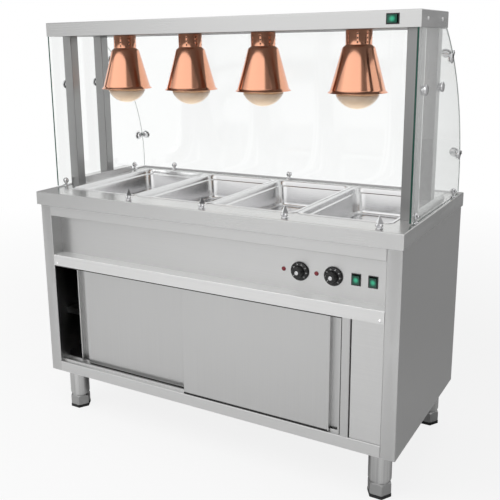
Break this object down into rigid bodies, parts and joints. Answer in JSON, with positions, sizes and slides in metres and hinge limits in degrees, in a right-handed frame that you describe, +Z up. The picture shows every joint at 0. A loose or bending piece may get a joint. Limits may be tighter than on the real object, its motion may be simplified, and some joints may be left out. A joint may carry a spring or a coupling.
{
  "type": "heated bain-marie counter",
  "caption": "Stainless counter with gastronorm pans in a heated water well, a hot cupboard with sliding doors, and a glazed gantry with copper heat lamps.",
  "frame": {"origin": "on the floor, under the middle of the worktop", "axes": "+X to the right seen from the operator's side, -Y towards the operator (doors and controls), +Y towards the customer (curved glass), +Z up"},
  "size_m": [1.45, 0.7, 1.545],
  "materials": {
    "brushed": "brushed stainless sheet",
    "satin_pan": "bright drawn stainless",
    "polished": "polished stainless",
    "foot_steel": "satin stainless hexagon on a black pad",
    "track_alloy": "mill finish",
    "nylon": "natural nylon",
    "element_steel": "heat-darkened sheath",
    "valve_brass": "plain brass",
    "lever_red": "dipped lever",
    "black_plastic": "black moulding",
    "red_lens": "clear red lens",
    "green_lens": "lit green lens",
    "copper": "polished copper",
    "ceramic": "glazed porcelain",
    "bulb_glass": "clear front, silvered reflector",
    "pane_glass": "toughened float glass"
  },
  "bodies": {
    "counter": {"base_rails": "brushed", "beam_cover": "brushed", "beam_plate": "brushed", "bottom_rail": "brushed", "cable_gland": "black_plastic", "control_fascia": "brushed", "cupboard_element": "element_steel", "cupboard_floor": "brushed", "curved_glass": "pane_glass", "divider_wall": "brushed", "door_track": "track_alloy", "drain_valve": "valve_brass", "front_posts": "brushed", "glass_connectors": "polished", "heat_bulbs": "bulb_glass", "lamp_shade_1": "copper", "lamp_shade_2": "copper", "lamp_shade_3": "copper", "lamp_shade_4": "copper", "lampholders": "ceramic", "ledge_rail": "brushed", "legs": "polished", "pan_bars": "brushed", "pilot_lights": "red_lens", "rear_panel": "brushed", "rear_posts": "brushed", "screws": "polished", "service_panel": "brushed", "shelf": "brushed", "shelf_brackets": "brushed", "side_glass_left": "pane_glass", "side_glass_right": "pane_glass", "side_panel_left": "brushed", "side_panel_right": "brushed", "standoffs": "polished", "switch_bodies": "black_plastic", "thermostats": "black_plastic", "top_rail": "brushed", "well_element": "element_steel", "well_tank": "brushed", "worktop": "brushed", "worktop_clips": "polished"},
    "door_left": {"door_left": "brushed", "door_glides_left": "nylon"},
    "door_right": {"door_right": "brushed", "door_glides_right": "nylon"},
    "knob_well": {"knob_well": "black_plastic"},
    "knob_cupboard": {"knob_cupboard": "black_plastic"},
    "rocker_well": {"rocker_well": "green_lens"},
    "rocker_cupboard": {"rocker_cupboard": "green_lens"},
    "rocker_lamps": {"rocker_lamps": "green_lens"},
    "drain_lever": {"drain_lever": "lever_red"},
    "pan_1": {"pan_1": "satin_pan"},
    "pan_2": {"pan_2": "satin_pan"},
    "pan_3": {"pan_3": "satin_pan"},
    "pan_4": {"pan_4": "satin_pan"},
    "foot_front_left": {"foot_front_left": "foot_steel"},
    "foot_front_right": {"foot_front_right": "foot_steel"},
    "foot_rear_left": {"foot_rear_left": "foot_steel"},
    "foot_rear_right": {"foot_rear_right": "foot_steel"}
  },
  "joints": [
    {"name": "door_left_slide", "type": "slide", "parent": "counter", "child": "door_left", "axis": [1, 0, 0], "range_m": [-0.075, 0.516]},
    {"name": "door_right_slide", "type": "slide", "parent": "counter", "child": "door_right", "axis": [1, 0, 0], "range_m": [-0.591, 0]},
    {"name": "knob_well_turn", "type": "hinge", "parent": "counter", "child": "knob_well", "pos_m": [0.365, -0.283, 0.734], "axis": [0, 1, 0], "range_deg": [0, 270]},
    {"name": "knob_cupboard_turn", "type": "hinge", "parent": "counter", "child": "knob_cupboard", "pos_m": [0.482, -0.283, 0.734], "axis": [0, 1, 0], "range_deg": [0, 270]},
    {"name": "rocker_well_tilt", "type": "hinge", "parent": "counter", "child": "rocker_well", "pos_m": [0.558, -0.283, 0.734], "axis": [1, 0, 0], "range_deg": [-16, 0]},
    {"name": "rocker_cupboard_tilt", "type": "hinge", "parent": "counter", "child": "rocker_cupboard", "pos_m": [0.6135, -0.283, 0.734], "axis": [1, 0, 0], "range_deg": [-16, 0]},
    {"name": "rocker_lamps_tilt", "type": "hinge", "parent": "counter", "child": "rocker_lamps", "pos_m": [0.633, -0.2445, 1.52], "axis": [0, 0, -1], "range_deg": [-16, 0]},
    {"name": "drain_lever_turn", "type": "hinge", "parent": "counter", "child": "drain_lever", "pos_m": [0.45, 0.15, 0.6875], "axis": [0, 1, 0], "range_deg": [-90, 0]},
    {"name": "pan_1_lift", "type": "slide", "parent": "counter", "child": "pan_1", "axis": [0, 0, 1], "range_m": [0, 0.15]},
    {"name": "pan_2_lift", "type": "slide", "parent": "counter", "child": "pan_2", "axis": [0, 0, 1], "range_m": [0, 0.15]},
    {"name": "pan_3_lift", "type": "slide", "parent": "counter", "child": "pan_3", "axis": [0, 0, 1], "range_m": [0, 0.15]},
    {"name": "pan_4_lift", "type": "slide", "parent": "counter", "child": "pan_4", "axis": [0, 0, 1], "range_m": [0, 0.15]},
    {"name": "foot_front_left_screw", "type": "slide", "parent": "counter", "child": "foot_front_left", "axis": [0, 0, -1], "range_m": [0, 0.025]},
    {"name": "foot_front_right_screw", "type": "slide", "parent": "counter", "child": "foot_front_right", "axis": [0, 0, -1], "range_m": [0, 0.025]},
    {"name": "foot_rear_left_screw", "type": "slide", "parent": "counter", "child": "foot_rear_left", "axis": [0, 0, -1], "range_m": [0, 0.025]},
    {"name": "foot_rear_right_screw", "type": "slide", "parent": "counter", "child": "foot_rear_right", "axis": [0, 0, -1], "range_m": [0, 0.025]}
  ]
}
